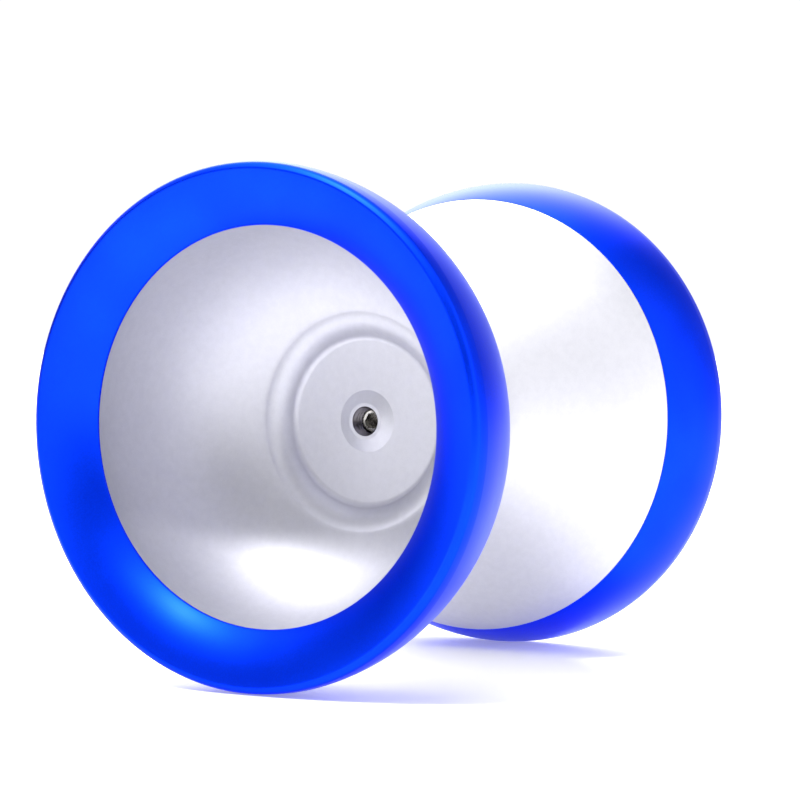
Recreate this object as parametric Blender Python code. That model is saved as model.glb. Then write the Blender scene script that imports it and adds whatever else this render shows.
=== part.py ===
"""A wide off-string yo-yo: two cup-shaped aluminium halves with blue rim rings,
screwed together on a set-screw axle around a small ball bearing.

The axle lies along X, +Z is up, and the origin is the centre of the bearing.
Outlines are lists of (distance from the centre plane, radius), in metres, and
every turned piece is such an outline spun about X.
"""
import math

import bmesh
import bpy
from mathutils import Matrix, Vector

MM = 0.001

# Whole yo-yo
DIAMETER = 70.0 * MM
WIDTH = 74.5 * MM
BODY_SIDES = 32
SEAT_GAP = 0.2 * MM

# Outside of a half: response flat, straight flank, then one long arc up to the widest ring
GAP_HALF = 2.2 * MM
FLAT_RADIUS = 11.5 * MM
FLANK_START = (4.2 * MM, 16.6 * MM)
ARC_START_X = 18.0 * MM
WIDEST_X = 36.1 * MM
ARC_RADIUS = 27.9 * MM

# Cup: one elliptical bowl that ends in a crease round the hub
LIP_X = 32.2 * MM
LIP_RADIUS = 26.9 * MM
BOWL_TOP = (27.0 * MM, 28.6 * MM)
BOWL_CENTRE_RADIUS = 11.0 * MM
CREASE = (8.95 * MM, 15.46 * MM)

# Hub: rounded ring, recessed floor and a raised cone round the threaded hole
HUB_RING_CENTRE = (5.87 * MM, 15.0 * MM)
HUB_RING_RADIUS = 3.1 * MM
FLOOR_X = 6.47 * MM
FLOOR_RADIUS = 11.2 * MM
CONE_FOOT_RADIUS = 4.36 * MM
CONE_TOP = (7.02 * MM, 2.58 * MM)
MOUTH_RADIUS = 2.09 * MM
MOUTH_DEPTH = 0.3 * MM
HOLE_RADIUS = 1.85 * MM

# Rim ring, pressed over the outside of the cup, with a hidden groove that saves weight
RING_START_X = 23.8 * MM
RING_SEAT_RADIUS = 30.1 * MM
RING_CORNER_RADIUS = 0.9 * MM
RING_LAND = 0.5 * MM
RING_INNER_EDGE = (33.3 * MM, 26.65 * MM)
RING_EDGE_CHAMFER = 0.45 * MM
RING_GROOVE = (26.0 * MM, 34.0 * MM, 32.4 * MM)

# Bearing, the common inch size with a quarter-inch bore, and its seat
BORE_RADIUS = 3.175 * MM
OUTER_RADIUS = 6.35 * MM
BEARING_HALF_WIDTH = 2.381 * MM
PITCH_RADIUS = 4.7625 * MM
BALL_RADIUS = 0.794 * MM
BALL_COUNT = 10
GROOVE_RADIUS = 0.87 * MM
INNER_LAND_RADIUS = 4.25 * MM
OUTER_LAND_RADIUS = 5.3 * MM
SHIELD_SEAT = (1.6 * MM, 5.75 * MM)
SHIELD_OUTLINE = (1.68 * MM, 1.88 * MM, 4.4 * MM, 5.62 * MM)
CLIP_OUTLINE = (1.98 * MM, 2.23 * MM, 5.2 * MM, 5.62 * MM)
CLIP_OPENING = (1.0 * MM, 1.6 * MM, 4.0 * MM)
CAGE_OUTLINE = (-0.95 * MM, 0.35 * MM, 4.52 * MM, 5.02 * MM)
POCKET_RADIUS = 0.87 * MM
POCKET_DEPTH = 1.2 * MM
POCKET_SIDES = 12
BEARING_SIDES = 24
CAGE_SIDES = 48

POST_RADIUS = 3.08 * MM
POST_END_X = 0.9 * MM
SEAT_X = 2.46 * MM
SEAT_RADIUS = 4.0 * MM
RECESS_X = 2.75 * MM
RECESS_RADIUS = 6.8 * MM

# Response pad and its groove
PAD_INNER_RADIUS = 7.5 * MM
PAD_OUTER_RADIUS = 9.5 * MM
PAD_THICKNESS = 1.0 * MM
PAD_CLEARANCE = 0.12 * MM

# Axle: an M4 set screw with a 2 mm hexagon socket in its left end
AXLE_RADIUS = 1.75 * MM
AXLE_LENGTH = 10.0 * MM
AXLE_SHIFT = -0.25 * MM
AXLE_CHAMFER = 0.35 * MM
AXLE_SIDES = 24
SOCKET_ACROSS_FLATS = 2.0 * MM
SOCKET_DEPTH = 2.5 * MM

LEFT = -1
RIGHT = 1


def clear_scene():
    for thing in list(bpy.data.objects):
        bpy.data.objects.remove(thing, do_unlink=True)


def make_material(name, colour, roughness, metallic):
    material = bpy.data.materials.new(name)
    material.use_nodes = True
    shader = material.node_tree.nodes["Principled BSDF"]
    shader.inputs["Base Color"].default_value = (*colour, 1.0)
    shader.inputs["Roughness"].default_value = roughness
    shader.inputs["Metallic"].default_value = metallic
    material.diffuse_color = (*colour, 1.0)
    return material


def make_group(name, parent=None):
    """An empty on the axle line, which carries the pieces that move as one."""
    group = bpy.data.objects.new(name, None)
    group.empty_display_size = DIAMETER / 10
    group.parent = parent
    bpy.context.collection.objects.link(group)
    return group


def make_object(name, shape, material, group, location=(0, 0, 0)):
    mesh = bpy.data.meshes.new(name)
    shape.to_mesh(mesh)
    shape.free()
    mesh.shade_smooth()
    mesh.set_sharp_from_angle(angle=math.radians(30))
    mesh.materials.append(material)
    piece = bpy.data.objects.new(name, mesh)
    piece.location = location
    piece.parent = group
    bpy.context.collection.objects.link(piece)
    return piece


def arc(centre, radius, start, end, steps):
    """Points along an arc; angles in degrees, 0 outward along X and 90 away from the axle."""
    points = []
    for step in range(steps + 1):
        angle = math.radians(start + (end - start) * step / steps)
        points.append((centre[0] + radius * math.cos(angle), centre[1] + radius * math.sin(angle)))
    return points


def turned(outline, side, sides):
    """A closed outline spun about the axle; its flats lie at the outline's own radii."""
    reach = 1 / math.cos(math.pi / sides)
    shape = bmesh.new()
    corners = [shape.verts.new((side * x, 0, -radius * reach)) for x, radius in outline]
    pairs = zip(corners, corners[1:] + corners[:1])
    lines = [shape.edges.new(pair) for pair in pairs]
    bmesh.ops.rotate(shape, verts=corners, matrix=Matrix.Rotation(math.pi / sides, 3, "X"))
    bmesh.ops.spin(shape, geom=corners + lines, cent=(0, 0, 0), axis=(1, 0, 0),
                   angle=2 * math.pi, steps=sides, use_merge=True)
    bmesh.ops.remove_doubles(shape, verts=shape.verts, dist=0.00001 * MM)
    bmesh.ops.recalc_face_normals(shape, faces=shape.faces)
    return shape


def band(start_x, end_x, inner, outer):
    return [(start_x, inner), (start_x, outer), (end_x, outer), (end_x, inner)]


def make_cutter(name, shape, group):
    cutter = make_object(name, shape, bpy.data.materials["axle_steel"], group)
    cutter.hide_render = True
    cutter.display_type = "WIRE"
    return cutter


def cut(piece, cutter):
    boolean = piece.modifiers.new("cut", "BOOLEAN")
    boolean.operation = "DIFFERENCE"
    boolean.solver = "EXACT"
    boolean.object = cutter


def outside_radius(x):
    """Radius of the long outside arc at a distance from the centre plane."""
    return DIAMETER / 2 - ARC_RADIUS + math.sqrt(ARC_RADIUS ** 2 - (WIDEST_X - x) ** 2)


def outside_arc(start_x, end_x, steps):
    spots = [start_x + (end_x - start_x) * step / steps for step in range(steps + 1)]
    return [(x, outside_radius(x)) for x in spots]


def bowl_points(steps):
    """Elliptical bowl from its widest place down to the crease round the hub."""
    rise = BOWL_TOP[1] - BOWL_CENTRE_RADIUS
    crease_angle = math.asin((CREASE[1] - BOWL_CENTRE_RADIUS) / rise)
    reach = (BOWL_TOP[0] - CREASE[0]) / math.cos(crease_angle)
    points = []
    for step in range(steps + 1):
        angle = math.pi / 2 + (crease_angle - math.pi / 2) * step / steps
        points.append((BOWL_TOP[0] - reach * math.cos(angle),
                       BOWL_CENTRE_RADIUS + rise * math.sin(angle)))
    return points


def body_outline():
    """One-piece half: bearing post and seat, response flat, flank, cup and hub."""
    pad_back = GAP_HALF + PAD_THICKNESS + PAD_CLEARANCE
    bearing_seat = [
        (POST_END_X, HOLE_RADIUS),
        (POST_END_X, POST_RADIUS),
        (SEAT_X, POST_RADIUS),
        (SEAT_X, SEAT_RADIUS),
        (RECESS_X, SEAT_RADIUS),
        (RECESS_X, RECESS_RADIUS),
        (GAP_HALF, RECESS_RADIUS),
        (GAP_HALF, PAD_INNER_RADIUS - PAD_CLEARANCE),
        (pad_back, PAD_INNER_RADIUS - PAD_CLEARANCE),
        (pad_back, PAD_OUTER_RADIUS + PAD_CLEARANCE),
        (GAP_HALF, PAD_OUTER_RADIUS + PAD_CLEARANCE),
        (GAP_HALF, FLAT_RADIUS),
    ]
    flank = [FLANK_START] + outside_arc(ARC_START_X, RING_START_X - SEAT_GAP, 3)
    ring_seat = [
        (RING_START_X - SEAT_GAP, RING_SEAT_RADIUS - SEAT_GAP),
        (LIP_X, RING_SEAT_RADIUS - SEAT_GAP),
        (LIP_X, LIP_RADIUS),
    ]
    hub_ring = arc(HUB_RING_CENTRE, HUB_RING_RADIUS, -5, -65, 3)
    hub = [
        (FLOOR_X, FLOOR_RADIUS),
        (FLOOR_X, CONE_FOOT_RADIUS),
        CONE_TOP,
        (CONE_TOP[0], MOUTH_RADIUS),
        (CONE_TOP[0] - MOUTH_DEPTH, HOLE_RADIUS),
    ]
    return bearing_seat + flank + ring_seat + bowl_points(6) + hub_ring + hub


def ring_outline():
    """Rim ring: outside arc, rounded front corner, sloping face, hidden groove and seat."""
    corner_centre = (WIDTH / 2 - RING_CORNER_RADIUS, DIAMETER / 2 - RING_CORNER_RADIUS)
    corner = arc(corner_centre, RING_CORNER_RADIUS, 90, 0, 3)
    land_inner = (WIDTH / 2, corner_centre[1] - RING_LAND)
    edge_x, edge_radius = RING_INNER_EDGE
    groove_back, groove_front, groove_radius = RING_GROOVE
    inside = [
        (edge_x + RING_EDGE_CHAMFER / 3, edge_radius + RING_EDGE_CHAMFER),
        (edge_x - RING_EDGE_CHAMFER / 2, edge_radius),
        (LIP_X + SEAT_GAP, edge_radius),
        (LIP_X + SEAT_GAP, RING_SEAT_RADIUS),
        (groove_front, RING_SEAT_RADIUS),
        (groove_front, groove_radius),
        (groove_back, groove_radius),
        (groove_back, RING_SEAT_RADIUS),
        (RING_START_X, RING_SEAT_RADIUS),
    ]
    return outside_arc(RING_START_X, WIDEST_X, 5)[:-1] + corner + [land_inner] + inside


def groove(sign, steps):
    """Ball groove cut in a race: sign is 1 for the outer race and -1 for the inner."""
    land = OUTER_LAND_RADIUS if sign > 0 else INNER_LAND_RADIUS
    mouth = math.degrees(math.asin(abs(land - PITCH_RADIUS) / GROOVE_RADIUS))
    points = arc((0, 0), GROOVE_RADIUS, 180 - mouth, mouth, steps)
    return [(x, PITCH_RADIUS + sign * offset) for x, offset in points]


def inner_race_outline():
    edge = BEARING_HALF_WIDTH
    return ([(-edge, BORE_RADIUS), (-edge, INNER_LAND_RADIUS)] + groove(-1, 4)
            + [(edge, INNER_LAND_RADIUS), (edge, BORE_RADIUS)])


def outer_race_outline():
    edge = BEARING_HALF_WIDTH
    step_x, step_radius = SHIELD_SEAT
    left_side = [(-edge, OUTER_RADIUS), (-edge, step_radius), (-step_x, step_radius),
                 (-step_x, OUTER_LAND_RADIUS)]
    right_side = [(step_x, OUTER_LAND_RADIUS), (step_x, step_radius), (edge, step_radius),
                  (edge, OUTER_RADIUS)]
    return left_side + groove(1, 4) + right_side


def make_half(name, side, group, paints):
    make_object(name + "_body", turned(body_outline(), side, BODY_SIDES),
                paints["silver_aluminium"], group)
    make_object(name + "_rim_ring", turned(ring_outline(), side, BODY_SIDES),
                paints["blue_aluminium"], group)
    pad = band(GAP_HALF, GAP_HALF + PAD_THICKNESS, PAD_INNER_RADIUS, PAD_OUTER_RADIUS)
    make_object(name + "_response_pad", turned(pad, side, BODY_SIDES),
                paints["white_silicone"], group)


def make_axle(group, paints):
    """Plain-shanked set screw, chamfered at both ends, with a hexagon socket on the left."""
    along_x = Matrix.Rotation(math.pi / 2, 4, "Y")
    middle = Matrix.Translation((AXLE_SHIFT, 0, 0))
    shape = bmesh.new()
    bmesh.ops.create_cone(shape, cap_ends=True, segments=AXLE_SIDES, radius1=AXLE_RADIUS,
                          radius2=AXLE_RADIUS, depth=AXLE_LENGTH, matrix=middle @ along_x)
    ends = [edge for edge in shape.edges if abs(edge.verts[0].co.x - edge.verts[1].co.x) < MM]
    bmesh.ops.bevel(shape, geom=ends, offset=AXLE_CHAMFER, segments=1, affect="EDGES")
    screw = make_object("axle_screw", shape, paints["axle_steel"], group)

    hexagon = bmesh.new()
    corner_radius = SOCKET_ACROSS_FLATS / 2 / math.cos(math.pi / 6)
    socket_middle = Matrix.Translation((AXLE_SHIFT - AXLE_LENGTH / 2, 0, 0))
    quarter_turn = Matrix.Rotation(math.pi / 2, 4, "X")
    bmesh.ops.create_cone(hexagon, cap_ends=True, segments=6, radius1=corner_radius,
                          radius2=corner_radius, depth=2 * SOCKET_DEPTH,
                          matrix=socket_middle @ quarter_turn @ along_x)
    cut(screw, make_cutter("socket_cutter", hexagon, group))


def make_cage(group, paints):
    """Crown cage: a thin ring with a pocket for each ball, open towards the right."""
    cage = make_object("bearing_cage", turned(band(*CAGE_OUTLINE), RIGHT, CAGE_SIDES),
                       paints["bearing_steel"], group)
    pockets = bmesh.new()
    for number in range(BALL_COUNT):
        turn = Matrix.Rotation(2 * math.pi * number / BALL_COUNT, 4, "X")
        outward = Matrix.Translation((0, 0, PITCH_RADIUS))
        bmesh.ops.create_cone(pockets, cap_ends=True, segments=POCKET_SIDES,
                              radius1=POCKET_RADIUS, radius2=POCKET_RADIUS,
                              depth=POCKET_DEPTH, matrix=turn @ outward)
    cut(cage, make_cutter("pocket_cutter", pockets, group))


def make_balls(group, paints):
    for number in range(BALL_COUNT):
        angle = 2 * math.pi * number / BALL_COUNT
        shape = bmesh.new()
        bmesh.ops.create_icosphere(shape, subdivisions=2, radius=BALL_RADIUS)
        place = Vector((0, -math.sin(angle), math.cos(angle))) * PITCH_RADIUS
        make_object(f"bearing_ball_{number + 1:02d}", shape, paints["bearing_steel"], group, place)


def make_shield(name, side, group, paints):
    make_object(name + "_shield", turned(band(*SHIELD_OUTLINE), side, BEARING_SIDES),
                paints["bearing_steel"], group)
    clip = make_object(name + "_shield_clip", turned(band(*CLIP_OUTLINE), side, BEARING_SIDES),
                       paints["bearing_steel"], group)
    opening = bmesh.new()
    middle = Vector((side * (CLIP_OUTLINE[0] + CLIP_OUTLINE[1]) / 2, 0, PITCH_RADIUS))
    size = Matrix.Diagonal((*CLIP_OPENING, 1))
    bmesh.ops.create_cube(opening, size=1, matrix=Matrix.Translation(middle) @ size)
    cut(clip, make_cutter(name + "_clip_cutter", opening, group))


def make_yo_yo():
    clear_scene()
    paints = {
        "silver_aluminium": make_material("silver_aluminium", (0.70, 0.70, 0.73), 0.42, 1.0),
        "blue_aluminium": make_material("blue_aluminium", (0.01, 0.10, 0.85), 0.30, 1.0),
        "white_silicone": make_material("white_silicone", (0.86, 0.87, 0.86), 0.55, 0.0),
        "axle_steel": make_material("axle_steel", (0.42, 0.41, 0.40), 0.28, 1.0),
        "bearing_steel": make_material("bearing_steel", (0.66, 0.66, 0.67), 0.20, 1.0),
    }
    left_half = make_group("left_half")
    clamped_race = make_group("clamped_race", left_half)
    right_half = make_group("right_half", clamped_race)
    free_race = make_group("free_race", clamped_race)
    ball_carrier = make_group("ball_carrier", clamped_race)

    make_half("left", LEFT, left_half, paints)
    make_axle(left_half, paints)
    make_half("right", RIGHT, right_half, paints)
    make_object("bearing_inner_race", turned(inner_race_outline(), RIGHT, BEARING_SIDES),
                paints["bearing_steel"], clamped_race)
    make_object("bearing_outer_race", turned(outer_race_outline(), RIGHT, BEARING_SIDES),
                paints["bearing_steel"], free_race)
    make_shield("left", LEFT, free_race, paints)
    make_shield("right", RIGHT, free_race, paints)
    make_cage(ball_carrier, paints)
    make_balls(ball_carrier, paints)


make_yo_yo()
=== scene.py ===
"""A wide off-string yo-yo in its finished looks: bead-blasted silver halves with threaded hubs,
satin blue rim rings, a set-screw axle, and a shielded ball bearing in the string gap.

Outlines are lists of (distance from the centre plane, radius[, rounding]) in metres, and each
turned piece is such an outline spun about the axle, which lies along X.
"""
import math

import bpy
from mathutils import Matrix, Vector


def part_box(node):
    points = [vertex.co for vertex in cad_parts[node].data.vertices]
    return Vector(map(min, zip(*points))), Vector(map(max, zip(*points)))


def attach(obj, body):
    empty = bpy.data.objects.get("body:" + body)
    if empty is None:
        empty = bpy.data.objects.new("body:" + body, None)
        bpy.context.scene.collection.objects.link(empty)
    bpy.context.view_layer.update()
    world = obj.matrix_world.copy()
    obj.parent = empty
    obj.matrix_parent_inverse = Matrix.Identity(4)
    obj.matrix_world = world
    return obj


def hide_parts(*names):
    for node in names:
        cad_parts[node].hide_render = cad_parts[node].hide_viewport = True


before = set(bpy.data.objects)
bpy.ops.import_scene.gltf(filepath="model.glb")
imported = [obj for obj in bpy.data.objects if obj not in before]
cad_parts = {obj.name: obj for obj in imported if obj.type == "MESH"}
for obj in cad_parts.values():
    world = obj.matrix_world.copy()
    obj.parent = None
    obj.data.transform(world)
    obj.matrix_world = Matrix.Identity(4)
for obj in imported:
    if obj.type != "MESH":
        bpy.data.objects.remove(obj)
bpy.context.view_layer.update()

MM = 0.001

# Places that come from the frame; all are distances from the centre plane or radii
HALF_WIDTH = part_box("right_rim_ring")[1].x
RIM_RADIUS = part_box("right_rim_ring")[1].z
RING_START_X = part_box("right_rim_ring")[0].x
POST_END_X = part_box("right_body")[0].x
LIP_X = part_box("right_body")[1].x
GAP_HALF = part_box("right_response_pad")[0].x
PAD_BACK_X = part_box("right_response_pad")[1].x
PAD_OUTER_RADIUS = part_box("right_response_pad")[1].z
AXLE_LEFT_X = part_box("axle_screw")[0].x
AXLE_RIGHT_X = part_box("axle_screw")[1].x
BEARING_EDGE_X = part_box("bearing_outer_race")[1].x
BEARING_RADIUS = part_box("bearing_outer_race")[1].z
SHIELD_X = (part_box("right_shield")[0].x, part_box("right_shield")[1].x)
SHIELD_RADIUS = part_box("right_shield")[1].z
CLIP_X = (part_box("right_shield_clip")[0].x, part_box("right_shield_clip")[1].x)
CAGE_X = (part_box("bearing_cage")[0].x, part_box("bearing_cage")[1].x)

# Outside of a half
FLAT_RADIUS = 11.5 * MM
FLANK_START = (4.2 * MM, 16.6 * MM)
ARC_START_X = 18.0 * MM
WIDEST_X = 36.1 * MM
ARC_RADIUS = 27.9 * MM

# Cup and hub
LIP_FRONT = (32.9 * MM, 26.74 * MM)
LIP_STEP_RADIUS = 27.3 * MM
BOWL_TOP = (27.0 * MM, 28.6 * MM)
BOWL_CENTRE_RADIUS = 11.0 * MM
CREASE = (8.95 * MM, 15.46 * MM)
HUB_RING_CENTRE = (5.87 * MM, 15.0 * MM)
HUB_RING_RADIUS = 3.1 * MM
FLOOR_X = 6.47 * MM
FLOOR_FILLET = 1.0 * MM
CONE_FOOT_RADIUS = 4.36 * MM
CONE_TOP = (7.02 * MM, 2.58 * MM)
MOUTH_RADIUS = 2.09 * MM

# Rim ring
RING_SEAT_RADIUS = 30.1 * MM
RING_SHOULDER_X = 35.0 * MM
RING_CORNER = (36.75 * MM, 34.80 * MM)
FACE_START_RADIUS = 34.0 * MM
FACE_END = (33.35 * MM, 26.65 * MM)
FACE_CROWN = 0.65 * MM
RING_GROOVE = (26.0 * MM, 34.0 * MM, 32.4 * MM)
FIT_GAP = 0.1 * MM

# Bearing seat in a half
POST_RADIUS = 3.08 * MM
SEAT_X = 2.46 * MM
SEAT_RADIUS = 4.0 * MM
RECESS_X = 2.75 * MM
RECESS_RADIUS = 6.8 * MM
PAD_INNER_RADIUS = 7.5 * MM

# Bearing
BORE_RADIUS = 3.175 * MM
PITCH_RADIUS = 4.7625 * MM
BALL_RADIUS = 0.794 * MM
BALL_COUNT = 10
GROOVE_RADIUS = 0.84 * MM
INNER_LAND_RADIUS = 4.25 * MM
OUTER_LAND_RADIUS = 5.3 * MM
SHIELD_SEAT = (1.6 * MM, 5.75 * MM)
SHIELD_INNER_RADIUS = 4.4 * MM
CLIP_INNER_RADIUS = 5.2 * MM
CLIP_HALF_OPENING = 8.5
CAGE_RADII = (4.52 * MM, 5.02 * MM)
POCKET_RADIUS = 0.85 * MM
POCKET_DEPTH = 1.2 * MM
BALL_REFINING = 4

# M4 thread and the axle's hexagon socket
PITCH = 0.7 * MM
NUT_ROOT = 2.06 * MM
NUT_CREST = 1.68 * MM
SCREW_CREST = 1.95 * MM
SCREW_ROOT = 1.56 * MM
THREAD_STEP = 0.05 * MM
SCREW_END_RADIUS = 1.45 * MM
SOCKET_ACROSS_FLATS = 2.0 * MM
SOCKET_DEPTH = 2.5 * MM

FINE_SIDES = 192
BEARING_SIDES = 128


# ---------------------------------------------------------------- outlines

def arc(centre, radius, start, end, steps):
    """Points along an arc; angles in degrees, 0 outward along X and 90 away from the axle."""
    points = []
    for step in range(steps + 1):
        angle = math.radians(start + (end - start) * step / steps)
        points.append((centre[0] + radius * math.cos(angle), centre[1] + radius * math.sin(angle)))
    return points


def crowned(start, end, rise, steps):
    """A nearly straight stretch that bulges by rise at its middle, without its two ends."""
    run = Vector(end) - Vector(start)
    outward = Vector((-run.y, run.x)).normalized()
    points = []
    for step in range(1, steps):
        share = step / steps
        spot = Vector(start) + run * share + outward * rise * 4 * share * (1 - share)
        points.append((spot.x, spot.y))
    return points


def rounded(outline, steps=6):
    """A closed outline with each corner that has a third number rounded to that radius."""
    points = []
    count = len(outline)
    for number, corner in enumerate(outline):
        spot = Vector(corner[:2])
        if len(corner) < 3:
            points.append((spot.x, spot.y))
            continue
        back = Vector(outline[number - 1][:2]) - spot
        ahead = Vector(outline[(number + 1) % count][:2]) - spot
        half_angle = back.angle(ahead) / 2
        reach = min(corner[2] / math.tan(half_angle), 0.48 * back.length, 0.48 * ahead.length)
        start = spot + back.normalized() * reach
        end = spot + ahead.normalized() * reach
        radius = reach * math.tan(half_angle)
        middle = (back.normalized() + ahead.normalized()).normalized()
        centre = spot + middle * radius / math.sin(half_angle)
        first = start - centre
        turn = first.angle_signed(end - centre)
        for step in range(steps + 1):
            angle = -turn * step / steps
            points.append((centre.x + first.x * math.cos(angle) - first.y * math.sin(angle),
                           centre.y + first.x * math.sin(angle) + first.y * math.cos(angle)))
    return points


def outside_radius(x):
    """Radius of the long outside arc at a distance from the centre plane."""
    return RIM_RADIUS - ARC_RADIUS + math.sqrt(ARC_RADIUS ** 2 - (WIDEST_X - x) ** 2)


def outside_arc(start_x, end_x, steps):
    spots = [start_x + (end_x - start_x) * step / steps for step in range(steps + 1)]
    return [(x, outside_radius(x)) for x in spots]


def bowl_stretch(end_x, end_radius, steps):
    """Elliptical stretch of the bowl from its widest place to an end."""
    rise = BOWL_TOP[1] - BOWL_CENTRE_RADIUS
    last = math.asin((end_radius - BOWL_CENTRE_RADIUS) / rise)
    reach = (end_x - BOWL_TOP[0]) / math.cos(last)
    points = []
    for step in range(steps + 1):
        angle = math.pi / 2 + (last - math.pi / 2) * step / steps
        points.append((BOWL_TOP[0] + reach * math.cos(angle),
                       BOWL_CENTRE_RADIUS + rise * math.sin(angle)))
    return points


def hub_outline():
    """From the crease over the rounded hub ring to the recessed floor and the hole's cone."""
    fillet_x = FLOOR_X + FLOOR_FILLET
    step_x = fillet_x - HUB_RING_CENTRE[0]
    reach = HUB_RING_RADIUS + FLOOR_FILLET
    fillet_radius = HUB_RING_CENTRE[1] - math.sqrt(reach ** 2 - step_x ** 2)
    meet = math.degrees(math.acos(step_x / reach))
    ring = arc(HUB_RING_CENTRE, HUB_RING_RADIUS, 4, -meet, 20)
    hollow = arc((fillet_x, fillet_radius), FLOOR_FILLET, 180 - meet, 180, 10)
    cone = [(FLOOR_X, CONE_FOOT_RADIUS, 0.12 * MM), (CONE_TOP[0], CONE_TOP[1], 0.08 * MM)]
    return ring + hollow + cone


def bore_rows(start_x, end_x):
    """Closely spaced points along the hole, from its mouth to the end of the bearing post."""
    count = round(abs(end_x - start_x) / THREAD_STEP)
    spots = [start_x + (end_x - start_x) * row / count for row in range(1, count)]
    return [(x, NUT_CREST) for x in spots]


def body_outline():
    pad_back = PAD_BACK_X + FIT_GAP
    post = [
        (POST_END_X, POST_RADIUS, 0.2 * MM),
        (SEAT_X, POST_RADIUS, 0.05 * MM),
        (SEAT_X, SEAT_RADIUS, 0.05 * MM),
        (RECESS_X, SEAT_RADIUS, 0.05 * MM),
        (RECESS_X, RECESS_RADIUS, 0.1 * MM),
        (GAP_HALF, RECESS_RADIUS, 0.1 * MM),
        (GAP_HALF, PAD_INNER_RADIUS - FIT_GAP, 0.05 * MM),
        (pad_back, PAD_INNER_RADIUS - FIT_GAP, 0.1 * MM),
        (pad_back, PAD_OUTER_RADIUS + FIT_GAP, 0.1 * MM),
        (GAP_HALF, PAD_OUTER_RADIUS + FIT_GAP, 0.05 * MM),
        (GAP_HALF, FLAT_RADIUS, 2.5 * MM),
        (FLANK_START[0], FLANK_START[1], 9.0 * MM),
    ]
    flank = outside_arc(ARC_START_X, RING_START_X - FIT_GAP - 0.1 * MM, 24)
    shoulder_x = RING_START_X - FIT_GAP
    ring_seat = [
        (shoulder_x, outside_radius(shoulder_x), 0.1 * MM),
        (shoulder_x, RING_SEAT_RADIUS - FIT_GAP, 0.1 * MM),
        (LIP_X, RING_SEAT_RADIUS - FIT_GAP, 0.3 * MM),
        (LIP_X, LIP_STEP_RADIUS, 0.1 * MM),
        (LIP_FRONT[0], LIP_STEP_RADIUS, 0.05 * MM),
        LIP_FRONT,
    ]
    bowl = bowl_stretch(*LIP_FRONT, 14)[-2::-1] + bowl_stretch(*CREASE, 44)[1:]
    mouth = [(CONE_TOP[0], MOUTH_RADIUS)]
    end = [(POST_END_X, MOUTH_RADIUS)]
    bore = bore_rows(CONE_TOP[0], POST_END_X)
    return rounded(post + flank + ring_seat + bowl + hub_outline() + mouth + bore + end)


def ring_outline():
    """Outside arc, crisp shoulder, rounded corner, crowned face, and the hidden groove and seat."""
    face_start = (HALF_WIDTH, FACE_START_RADIUS, 0.5 * MM)
    face = crowned(face_start[:2], FACE_END, FACE_CROWN, 16)
    back_x = LIP_X + FIT_GAP
    step_x = LIP_FRONT[0] + FIT_GAP
    step_radius = LIP_STEP_RADIUS + FIT_GAP
    groove_back, groove_front, groove_radius = RING_GROOVE
    outside = outside_arc(RING_START_X + 0.1 * MM, RING_SHOULDER_X, 36)
    corner = [(RING_CORNER[0], RING_CORNER[1], 0.9 * MM), face_start]
    inside = [
        (FACE_END[0], FACE_END[1], 0.5 * MM),
        (step_x, FACE_END[1], 0.1 * MM),
        (step_x, step_radius, 0.1 * MM),
        (back_x, step_radius, 0.1 * MM),
        (back_x, RING_SEAT_RADIUS, 0.1 * MM),
        (groove_front, RING_SEAT_RADIUS, 0.1 * MM),
        (groove_front, groove_radius, 0.3 * MM),
        (groove_back, groove_radius, 0.3 * MM),
        (groove_back, RING_SEAT_RADIUS, 0.1 * MM),
        (RING_START_X, RING_SEAT_RADIUS, 0.1 * MM),
        (RING_START_X, outside_radius(RING_START_X), 0.1 * MM),
    ]
    return rounded(outside + corner + face + inside)


def ball_groove(sign):
    """Groove that the balls run in: sign is 1 in the outer race and -1 in the inner race."""
    land = OUTER_LAND_RADIUS if sign > 0 else INNER_LAND_RADIUS
    mouth = math.degrees(math.asin(abs(land - PITCH_RADIUS) / GROOVE_RADIUS))
    points = arc((0, 0), GROOVE_RADIUS, 180 - mouth, mouth, 24)
    return [(x, PITCH_RADIUS + sign * offset) for x, offset in points]


def inner_race_outline():
    edge = BEARING_EDGE_X
    left = [(-edge, BORE_RADIUS, 0.15 * MM), (-edge, INNER_LAND_RADIUS, 0.08 * MM)]
    right = [(edge, INNER_LAND_RADIUS, 0.08 * MM), (edge, BORE_RADIUS, 0.15 * MM)]
    return rounded(left + ball_groove(-1) + right)


def outer_race_outline():
    edge = BEARING_EDGE_X
    step_x, step_radius = SHIELD_SEAT
    left = [(-edge, BEARING_RADIUS, 0.3 * MM), (-edge, step_radius, 0.05 * MM),
            (-step_x, step_radius, 0.05 * MM), (-step_x, OUTER_LAND_RADIUS, 0.05 * MM)]
    right = [(step_x, OUTER_LAND_RADIUS, 0.05 * MM), (step_x, step_radius, 0.05 * MM),
             (edge, step_radius, 0.05 * MM), (edge, BEARING_RADIUS, 0.3 * MM)]
    return rounded(left + ball_groove(1) + right)


def shield_outline():
    """Pressed disc: a flat outer band, a small bend and an inner band that sits further in."""
    inner_x, outer_x = SHIELD_X
    sheet = 0.1 * MM
    bend = (5.0 * MM, 5.15 * MM)
    return rounded([
        (outer_x - sheet, SHIELD_RADIUS, 0.03 * MM),
        (outer_x, SHIELD_RADIUS, 0.03 * MM),
        (outer_x, bend[1], 0.1 * MM),
        (inner_x + sheet, bend[0], 0.1 * MM),
        (inner_x + sheet, SHIELD_INNER_RADIUS, 0.03 * MM),
        (inner_x, SHIELD_INNER_RADIUS, 0.03 * MM),
        (inner_x, bend[0], 0.1 * MM),
        (outer_x - sheet, bend[1], 0.1 * MM),
    ])


def band(start_x, end_x, inner, outer, rounding):
    return rounded([(start_x, inner, rounding), (start_x, outer, rounding),
                    (end_x, outer, rounding), (end_x, inner, rounding)])


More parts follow.
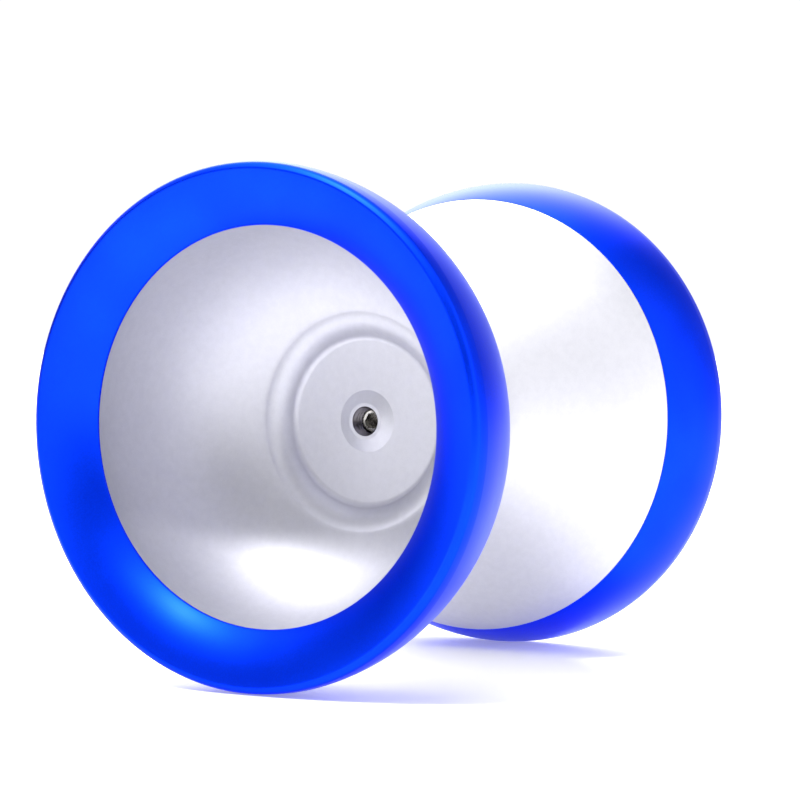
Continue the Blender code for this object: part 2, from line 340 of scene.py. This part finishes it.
def axle_outline():
    """From the middle of the socket end to the middle of the cup point, along the outside."""
    left, right = AXLE_LEFT_X, AXLE_RIGHT_X
    count = round((right - left) / THREAD_STEP)
    rows = [(left + (right - left) * row / count, SCREW_ROOT) for row in range(1, count)]
    socket_end = [(left + 0.15 * MM, 0), (left + 0.15 * MM, 0.95 * MM), (left, 1.2 * MM),
                  (left, SCREW_END_RADIUS)]
    cup_point = [(right, SCREW_END_RADIUS), (right, 1.15 * MM), (right - 0.35 * MM, 0)]
    return socket_end + rows + cup_point


# ---------------------------------------------------------------- making pieces

def start_fresh():
    if bpy.context.mode != "OBJECT":
        bpy.ops.object.mode_set(mode="OBJECT")
    bpy.ops.object.select_all(action="DESELECT")


def spun(name, outline, sides, closed=True, opening=0.0):
    """An outline turned about the axle; opening is half the angle left out, in degrees."""
    start_fresh()
    bpy.ops.mesh.primitive_circle_add(vertices=len(outline), radius=RIM_RADIUS)
    piece = bpy.context.object
    piece.name = name
    first = math.radians(opening)
    for vertex, (x, radius) in zip(piece.data.vertices, outline):
        vertex.co = (x, -radius * math.sin(first), radius * math.cos(first))
    if not closed:
        drop_closing_edge(piece)
    bpy.ops.object.mode_set(mode="EDIT")
    bpy.ops.mesh.select_all(action="SELECT")
    bpy.ops.mesh.spin(steps=sides, angle=2 * (math.pi - first), center=(0, 0, 0), axis=(1, 0, 0))
    bpy.ops.mesh.select_all(action="SELECT")
    bpy.ops.mesh.remove_doubles(threshold=0.001 * MM)
    if opening:
        bpy.ops.mesh.select_all(action="SELECT")
        bpy.ops.mesh.fill_holes(sides=0)
    bpy.ops.mesh.select_all(action="SELECT")
    bpy.ops.mesh.normals_make_consistent(inside=False)
    bpy.ops.object.mode_set(mode="OBJECT")
    return piece


def drop_closing_edge(piece):
    """Opens the outline between its last point and its first one."""
    last = len(piece.data.vertices) - 1
    bpy.ops.object.mode_set(mode="EDIT")
    bpy.ops.mesh.select_mode(type="EDGE")
    bpy.ops.mesh.select_all(action="DESELECT")
    bpy.ops.object.mode_set(mode="OBJECT")
    for edge in piece.data.edges:
        edge.select = set(edge.vertices) == {0, last}
    bpy.ops.object.mode_set(mode="EDIT")
    bpy.ops.mesh.delete(type="EDGE")
    bpy.ops.mesh.select_mode(type="VERT")
    bpy.ops.object.mode_set(mode="OBJECT")


def copy_of(piece, name):
    copy = piece.copy()
    copy.data = piece.data.copy()
    copy.name = name
    bpy.context.scene.collection.objects.link(copy)
    return copy


def mirrored(piece, name):
    """A copy on the other side of the centre plane, with its faces outward again."""
    copy = copy_of(piece, name)
    start_fresh()
    copy.select_set(True)
    bpy.context.view_layer.objects.active = copy
    bpy.ops.object.mode_set(mode="EDIT")
    bpy.ops.mesh.select_all(action="SELECT")
    bpy.ops.transform.resize(value=(-1, 1, 1), center_override=(0, 0, 0))
    bpy.ops.mesh.normals_make_consistent(inside=False)
    bpy.ops.object.mode_set(mode="OBJECT")
    return copy


def apply_modifier(piece, modifier):
    start_fresh()
    piece.select_set(True)
    bpy.context.view_layer.objects.active = piece
    bpy.ops.object.modifier_apply(modifier=modifier.name)


def take_away(piece, tool):
    """Cuts one piece with another and throws the tool away."""
    boolean = piece.modifiers.new("cut", "BOOLEAN")
    boolean.operation = "DIFFERENCE"
    boolean.solver = "EXACT"
    boolean.object = tool
    apply_modifier(piece, boolean)
    bpy.data.objects.remove(tool, do_unlink=True)


def apply_place(piece):
    start_fresh()
    piece.select_set(True)
    bpy.context.view_layer.objects.active = piece
    bpy.ops.object.transform_apply(location=True, rotation=True, scale=True)


def smooth(piece, angle=32):
    start_fresh()
    piece.select_set(True)
    bpy.context.view_layer.objects.active = piece
    bpy.ops.object.shade_smooth_by_angle(angle=math.radians(angle))


def thread_height(x, angle):
    """0 in the nut's root and 1 on its crest, along a right-hand thread round +X."""
    turn = (x / PITCH - angle / (2 * math.pi)) % 1.0
    flank = abs(2 * turn - 1)
    return min(max((flank - 0.14) / 0.72, 0.0), 1.0)


def cut_nut_thread(piece, side):
    """Presses the thread into the plain hole, with a small bevel at both of its mouths."""
    for vertex in piece.data.vertices:
        x, radius = side * vertex.co.x, math.hypot(vertex.co.y, vertex.co.z)
        if radius > (NUT_CREST + MOUTH_RADIUS) / 2:
            continue
        height = thread_height(vertex.co.x, math.atan2(-vertex.co.y, vertex.co.z))
        depth = min(CONE_TOP[0] - x, x - POST_END_X)
        bevel = MOUTH_RADIUS - depth
        wanted = max(NUT_ROOT - (NUT_ROOT - NUT_CREST) * height, bevel)
        vertex.co.y *= wanted / radius
        vertex.co.z *= wanted / radius


def cut_screw_thread(piece):
    for vertex in piece.data.vertices:
        radius = math.hypot(vertex.co.y, vertex.co.z)
        if radius < SCREW_END_RADIUS + 0.01 * MM:
            continue
        height = thread_height(vertex.co.x, math.atan2(-vertex.co.y, vertex.co.z))
        depth = min(vertex.co.x - AXLE_LEFT_X, AXLE_RIGHT_X - vertex.co.x)
        bevel = SCREW_END_RADIUS + depth
        wanted = min(SCREW_CREST - (SCREW_CREST - SCREW_ROOT) * height, bevel)
        vertex.co.y *= wanted / radius
        vertex.co.z *= wanted / radius


def make_axle():
    piece = spun("axle_screw_threaded", axle_outline(), FINE_SIDES, closed=False)
    cut_screw_thread(piece)
    start_fresh()
    corner_radius = SOCKET_ACROSS_FLATS / 2 / math.cos(math.pi / 6)
    bpy.ops.mesh.primitive_cylinder_add(vertices=6, radius=corner_radius, depth=2 * SOCKET_DEPTH,
                                        location=(AXLE_LEFT_X, 0, 0),
                                        rotation=(0, math.pi / 2, 0))
    hexagon = bpy.context.object
    apply_place(hexagon)
    take_away(piece, hexagon)
    smooth(piece)
    return piece


def make_cage():
    """Crown cage: a thin ring with round pockets that open towards the right."""
    rounding = 0.04 * MM
    cage = spun("bearing_cage_crown", band(*CAGE_X, *CAGE_RADII, rounding), BEARING_SIDES)
    for number in range(BALL_COUNT):
        start_fresh()
        angle = 2 * math.pi * number / BALL_COUNT
        place = (0, -PITCH_RADIUS * math.sin(angle), PITCH_RADIUS * math.cos(angle))
        bpy.ops.mesh.primitive_cylinder_add(vertices=40, radius=POCKET_RADIUS, depth=POCKET_DEPTH,
                                            location=place, rotation=(angle, 0, 0))
        pocket = bpy.context.object
        apply_place(pocket)
        take_away(cage, pocket)
    smooth(cage)
    return cage


def make_ball():
    """A lapped ball at the origin: a cube, subdivided and cast to a true sphere."""
    start_fresh()
    bpy.ops.mesh.primitive_cube_add(size=2 * BALL_RADIUS)
    ball = bpy.context.object
    refine = ball.modifiers.new("refine", "SUBSURF")
    refine.levels = BALL_REFINING
    refine.render_levels = BALL_REFINING
    apply_modifier(ball, refine)
    cast = ball.modifiers.new("cast", "CAST")
    cast.factor = 1.0
    cast.use_radius_as_size = False
    cast.size = BALL_RADIUS
    apply_modifier(ball, cast)
    smooth(ball, 60)
    return ball


# ---------------------------------------------------------------- finishes

class Signal:
    """A value in a finish: arithmetic on it adds the matching Math nodes."""

    def __init__(self, finish, socket):
        self.finish = finish
        self.socket = socket

    def math(self, operation, first, second=None):
        values = {0: first} if second is None else {0: first, 1: second}
        return self.finish.add("ShaderNodeMath", {"operation": operation}, values)

    def __add__(self, other):
        return self.math("ADD", self, other)

    def __radd__(self, other):
        return self.math("ADD", other, self)

    def __sub__(self, other):
        return self.math("SUBTRACT", self, other)

    def __rsub__(self, other):
        return self.math("SUBTRACT", other, self)

    def __mul__(self, other):
        return self.math("MULTIPLY", self, other)

    def __rmul__(self, other):
        return self.math("MULTIPLY", other, self)

    def __truediv__(self, other):
        return self.math("DIVIDE", self, other)

    def __pow__(self, other):
        return self.math("POWER", self, other)

    def ramp(self, low, high):
        """0 below low, 1 above high, and a smooth step between them."""
        return self.finish.add("ShaderNodeMapRange", {"interpolation_type": "SMOOTHSTEP"},
                               {"Value": self, "From Min": low, "From Max": high})


class Finish:
    """The nodes of one material, or of the studio's surroundings."""

    def __init__(self, tree):
        self.tree = tree

    def add(self, kind, settings=None, values=None, output=0):
        node = self.tree.nodes.new(kind)
        for name, value in (settings or {}).items():
            setattr(node, name, value)
        for name, value in (values or {}).items():
            if isinstance(value, Signal):
                self.tree.links.new(value.socket, node.inputs[name])
            else:
                node.inputs[name].default_value = value
        return Signal(self, node.outputs[output]) if node.outputs else None

    def blend(self, share, first, second):
        """A colour between two colours."""
        return self.add("ShaderNodeMix", {"data_type": "RGBA"}, {0: share, 6: first, 7: second}, 2)

    def noise(self, place, scale, detail=2.0, roughness=0.5):
        values = {"Vector": place, "Scale": scale, "Detail": detail, "Roughness": roughness}
        return self.add("ShaderNodeTexNoise", {}, values)


def colour(red, green, blue):
    return (red, green, blue, 1.0)


def new_finish(name, constants=None):
    """A Principled material whose named sockets are set to constants."""
    material = bpy.data.materials.new(name)
    material.use_nodes = True
    shader = material.node_tree.nodes["Principled BSDF"]
    for socket, value in (constants or {}).items():
        shader.inputs[socket].default_value = value
    finish = Finish(material.node_tree)
    finish.material = material
    finish.shader = shader
    finish.place = finish.add("ShaderNodeTexCoord", output="Object")
    return finish


def feed(finish, **sockets):
    for socket, signal in sockets.items():
        target = finish.shader.inputs[socket.replace("_", " ").title()]
        finish.tree.links.new(signal.socket, target)


def bumped(finish, height, distance, strength):
    values = {"Height": height, "Distance": distance, "Strength": strength}
    return finish.add("ShaderNodeBump", {}, values)


def from_axle(finish):
    """The distance from the axle, in metres."""
    y, z = (finish.add("ShaderNodeSeparateXYZ", {}, {0: finish.place}, part) for part in "YZ")
    return (y * y + z * z) ** 0.5


def turned_place(finish, along, across):
    """Coordinates that run round the axle: fine tool lines follow them."""
    x = finish.add("ShaderNodeSeparateXYZ", {}, {0: finish.place}, "X")
    return finish.add("ShaderNodeCombineXYZ", {}, {0: x * along, 1: from_axle(finish) * across})


def blasted_silver():
    """Fine bead-blasted aluminium under clear anodising; the threads are cut later and are
    smoother, and the threaded hole gets a dark colour as painted shade.
    """
    finish = new_finish("blasted_silver", {"Metallic": 1.0})
    grain = finish.noise(finish.place, 5200, 3.0, 0.65)
    mottle = finish.noise(finish.place, 900, 2.0)
    cloud = finish.noise(finish.place, 55, 2.0)
    tone = (grain * 0.45 + mottle * 0.35 + cloud * 0.35).ramp(0.40, 0.75)
    # 1 on the blasted skin and 0 in the threaded hole, where the cut thread is smoother and the
    # colour is painted shade
    blasted_vs_painted_shade_bore = from_axle(finish).ramp(NUT_ROOT, MOUTH_RADIUS)
    skin = finish.blend(tone, colour(0.64, 0.64, 0.69), colour(0.69, 0.69, 0.74))
    feed(finish,
         # Painted shade: the threaded hole is coloured dark grey (0.15) to stand for the shade
         # inside it
         base_color=finish.blend(blasted_vs_painted_shade_bore, colour(0.15, 0.14, 0.15), skin),
         roughness=0.26 + blasted_vs_painted_shade_bore * 0.25 + grain * 0.10 + cloud * 0.05,
         normal=bumped(finish, grain + mottle * 0.6, 0.012 * MM, 0.35))
    return finish.material


def satin_blue():
    """Turned aluminium, satin, anodised a deep blue; the clear film shows at a slant."""
    finish = new_finish("satin_blue", {"Metallic": 1.0, "Specular Tint": colour(0.25, 0.45, 1.0),
                                       "Coat Roughness": 0.35, "Coat IOR": 1.5})
    lines = finish.noise(turned_place(finish, 9000, 9000), 1.0, 2.0)
    cloud = finish.noise(finish.place, 70, 2.0)
    grain = finish.noise(finish.place, 4200, 2.0)
    tone = (cloud * 0.6 + grain * 0.4).ramp(0.35, 0.65)
    slant = finish.add("ShaderNodeLayerWeight", {}, {"Blend": 0.5}, "Facing").ramp(0.4, 0.95)
    feed(finish,
         base_color=finish.blend(tone, colour(0.0, 0.035, 0.86), colour(0.0, 0.045, 0.98)),
         roughness=0.38 + lines * 0.06 + grain * 0.05,
         coat_weight=0.05 + slant * 0.7 + cloud * 0.03,
         normal=bumped(finish, lines * 0.5 + grain, 0.006 * MM, 0.3))
    return finish.material


def soft_silicone():
    finish = new_finish("soft_silicone", {"Subsurface Weight": 0.35, "Subsurface Scale": 0.0012,
                                         "IOR": 1.41})
    speckle = finish.noise(finish.place, 2600, 3.0)
    cloud = finish.noise(finish.place, 400, 2.0)
    feed(finish,
         base_color=finish.blend(cloud.ramp(0.3, 0.7), colour(0.80, 0.81, 0.80),
                                 colour(0.90, 0.91, 0.90)),
         roughness=0.48 + speckle * 0.15,
         normal=bumped(finish, speckle, 0.02 * MM, 0.4))
    return finish.material


def oiled_steel():
    """Dark rolled screw steel with a film of oil."""
    finish = new_finish("oiled_steel", {"Metallic": 1.0, "Coat Roughness": 0.12})
    grain = finish.noise(finish.place, 3600, 3.0)
    smear = finish.noise(finish.place, 700, 2.0)
    feed(finish,
         base_color=finish.blend(smear.ramp(0.35, 0.65), colour(0.20, 0.19, 0.18),
                                 colour(0.42, 0.41, 0.39)),
         roughness=0.20 + grain * 0.16,
         coat_weight=0.2 + smear * 0.2,
         normal=bumped(finish, grain, 0.01 * MM, 0.35))
    return finish.material


def ground_steel(name, dark, bright, base_roughness):
    """Bearing steel with the fine lines that grinding leaves round the axle."""
    finish = new_finish(name, {"Metallic": 1.0})
    lines = finish.noise(turned_place(finish, 14000, 14000), 1.0, 2.0)
    smear = finish.noise(finish.place, 500, 2.0)
    feed(finish,
         base_color=finish.blend((lines * 0.5 + smear * 0.5).ramp(0.35, 0.65), dark, bright),
         roughness=base_roughness + lines * 0.08 + smear * 0.04,
         normal=bumped(finish, lines, 0.003 * MM, 0.3))
    return finish.material


def pressed_steel():
    """Shields, snap rings and cage: thin stainless sheet, slightly mottled."""
    finish = new_finish("pressed_steel", {"Metallic": 1.0})
    mottle = finish.noise(finish.place, 2400, 3.0)
    smear = finish.noise(finish.place, 420, 2.0)
    feed(finish,
         base_color=finish.blend(mottle.ramp(0.3, 0.7), colour(0.46, 0.46, 0.47),
                                 colour(0.62, 0.62, 0.63)),
         roughness=0.26 + mottle * 0.12 + smear * 0.05,
         normal=bumped(finish, mottle, 0.008 * MM, 0.3))
    return finish.material


# ---------------------------------------------------------------- assembly

def fit(piece, material, body, slot, *nodes):
    piece.data.materials.clear()
    piece.data.materials.append(material)
    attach(piece, body)
    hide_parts(*nodes)


def make_halves(silver, blue, silicone):
    """One half is turned and copied across; the threads are cut last, as both are right-hand."""
    body = spun("right_body_turned", body_outline(), FINE_SIDES)
    ring = spun("right_rim_ring_turned", ring_outline(), FINE_SIDES)
    pad_shape = band(GAP_HALF, PAD_BACK_X, PAD_INNER_RADIUS, PAD_OUTER_RADIUS, 0.15 * MM)
    pad = spun("right_response_pad_moulded", pad_shape, FINE_SIDES)
    right = (body, ring, pad)
    left = (mirrored(body, "left_body_turned"), mirrored(ring, "left_rim_ring_turned"),
            mirrored(pad, "left_response_pad_moulded"))
    for name, side, pieces in (("right", 1, right), ("left", -1, left)):
        body, ring, pad = pieces
        cut_nut_thread(body, side)
        for piece in pieces:
            smooth(piece)
        rider = name + "_half"
        fit(body, silver, rider, "silver_aluminium", name + "_body")
        fit(ring, blue, rider, "blue_aluminium", name + "_rim_ring")
        fit(pad, silicone, rider, "white_silicone", name + "_response_pad")


def make_bearing(polished, sheet):
    inner = spun("bearing_inner_race_ground", inner_race_outline(), BEARING_SIDES)
    smooth(inner)
    fit(inner, polished, "clamped_race", "bearing_steel", "bearing_inner_race")
    outer = spun("bearing_outer_race_ground", outer_race_outline(), BEARING_SIDES)
    smooth(outer)
    fit(outer, polished, "free_race", "bearing_steel", "bearing_outer_race")
    fit(make_cage(), sheet, "ball_carrier", "bearing_steel", "bearing_cage")
    ball = make_ball()
    for number in range(1, BALL_COUNT + 1):
        node = f"bearing_ball_{number:02d}"
        low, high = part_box(node)
        lapped = copy_of(ball, node + "_lapped")
        lapped.location = (low + high) / 2
        apply_place(lapped)
        fit(lapped, polished, "ball_carrier", "bearing_steel", node)
    bpy.data.objects.remove(ball, do_unlink=True)
    shield = spun("right_shield_pressed", shield_outline(), BEARING_SIDES)
    clip_shape = band(*CLIP_X, CLIP_INNER_RADIUS, SHIELD_RADIUS, 0.05 * MM)
    clip = spun("right_shield_clip_wire", clip_shape, BEARING_SIDES, opening=CLIP_HALF_OPENING)
    right = (shield, clip)
    left = (mirrored(shield, "left_shield_pressed"), mirrored(clip, "left_shield_clip_wire"))
    for name, (shield, clip) in (("right", right), ("left", left)):
        smooth(shield)
        smooth(clip)
        fit(shield, sheet, "free_race", "bearing_steel", name + "_shield")
        fit(clip, sheet, "free_race", "bearing_steel", name + "_shield_clip")


# ---------------------------------------------------------------- studio

# The camera looks from the left half's side; turn runs from +X towards +Y
VIEW_TARGET = Vector((0.7, -1.1, 2.8)) * MM
VIEW_TURN = math.radians(30.71)
VIEW_DOWN = math.radians(1.67)
VIEW_DISTANCE = 393.9 * MM
VIEW_LENS = 124.85
VIEW_LEVEL = Vector((math.cos(VIEW_TURN), math.sin(VIEW_TURN), 0))
VIEW_AHEAD = VIEW_LEVEL * math.cos(VIEW_DOWN) - Vector((0, 0, math.sin(VIEW_DOWN)))

# Metres, watts, and brightness against the white of the picture
KEY_DISTANCE = 1.6
KEY_SIZE = 0.16
KEY_POWER = 20
FLOOR_GLOW = 0.26
BACKDROP_WHITE = 1.05


def make_camera():
    camera = bpy.data.objects.new("camera", bpy.data.cameras.new("camera"))
    bpy.context.scene.collection.objects.link(camera)
    camera.location = VIEW_TARGET - VIEW_AHEAD * VIEW_DISTANCE
    camera.rotation_mode = "QUATERNION"
    camera.rotation_quaternion = VIEW_AHEAD.to_track_quat("-Z", "Y")
    camera.data.lens = VIEW_LENS
    camera.data.clip_start = 0.01
    camera.data.clip_end = 20
    bpy.context.scene.camera = camera


def make_floor():
    start_fresh()
    bpy.ops.mesh.primitive_plane_add(size=6, location=(0, 0, -RIM_RADIUS))
    floor = bpy.context.object
    floor.name = "floor"
    finish = new_finish("floor_white", {"Emission Color": colour(1, 1, 1),
                                        "Emission Strength": FLOOR_GLOW})
    cloud = finish.noise(finish.place, 3.0, 2.0)
    feed(finish,
         base_color=finish.blend(cloud, colour(0.90, 0.90, 0.91), colour(0.93, 0.93, 0.94)),
         roughness=0.45 + cloud * 0.1)
    floor.data.materials.append(finish.material)


def make_lamp(name, place, size, power):
    lamp = bpy.data.objects.new(name, bpy.data.lights.new(name, "AREA"))
    bpy.context.scene.collection.objects.link(lamp)
    lamp.location = place
    lamp.rotation_mode = "QUATERNION"
    lamp.rotation_quaternion = (-Vector(place)).to_track_quat("-Z", "Y")
    lamp.data.shape = "RECTANGLE"
    lamp.data.size, lamp.data.size_y = size
    lamp.data.energy = power


def towards(turn, height):
    """The direction turn degrees clockwise of straight ahead and height degrees up."""
    turn, height = math.radians(turn), math.radians(height)
    right = Vector((VIEW_LEVEL.y, -VIEW_LEVEL.x, 0.0))
    level = VIEW_LEVEL * math.cos(turn) + right * math.sin(turn)
    return level * math.cos(height) + Vector((0, 0, math.sin(height)))


def glow(room, direction, middle, inner, outer):
    """1 within inner degrees of the middle direction, fading to 0 at outer degrees."""
    nearness = room.add("ShaderNodeVectorMath", {"operation": "DOT_PRODUCT"},
                        {0: direction, 1: middle}, output="Value")
    return nearness.ramp(math.cos(math.radians(outer)), math.cos(math.radians(inner)))


def make_surroundings():
    """White to the eye; to the metal, a panel high at the back, soft walls and a dim room."""
    world = bpy.data.worlds.new("studio")
    world.use_nodes = True
    bpy.context.scene.world = world
    tree = world.node_tree
    tree.nodes.clear()
    room = Finish(tree)
    direction = room.add("ShaderNodeTexCoord", output="Generated")
    back_panel = glow(room, direction, towards(342, 48), 5, 45)
    left_panel = glow(room, direction, towards(245, 6), 5, 58)
    right_wall = glow(room, direction, towards(112, 16), 5, 55)
    low_back = glow(room, direction, towards(20, 5), 5, 45)
    front_ceiling = glow(room, direction, towards(215, 72), 5, 42)
    light = (0.03 + back_panel * 5.3 + left_panel * 0.35 + right_wall * 1.5
             + low_back * 0.8 + front_ceiling * 2.2)
    seen = room.add("ShaderNodeLightPath", output="Is Camera Ray")
    strength = light * (1 - seen) + seen * BACKDROP_WHITE
    shade = room.add("ShaderNodeBackground", {}, {"Color": colour(1, 1, 1), "Strength": strength})
    room.add("ShaderNodeOutputWorld", {}, {"Surface": shade})


def make_studio():
    make_camera()
    make_floor()
    make_lamp("key_light", towards(222, 60) * KEY_DISTANCE, (KEY_SIZE, KEY_SIZE), KEY_POWER)
    make_surroundings()
    bpy.context.scene.view_settings.view_transform = "Standard"


def make_yo_yo():
    silver, blue, silicone = blasted_silver(), satin_blue(), soft_silicone()
    polished = ground_steel("ground_steel", colour(0.55, 0.55, 0.56),
                            colour(0.70, 0.70, 0.71), 0.12)
    make_halves(silver, blue, silicone)
    fit(make_axle(), oiled_steel(), "left_half", "axle_steel", "axle_screw")
    make_bearing(polished, pressed_steel())


make_yo_yo()
make_studio()
start_fresh()
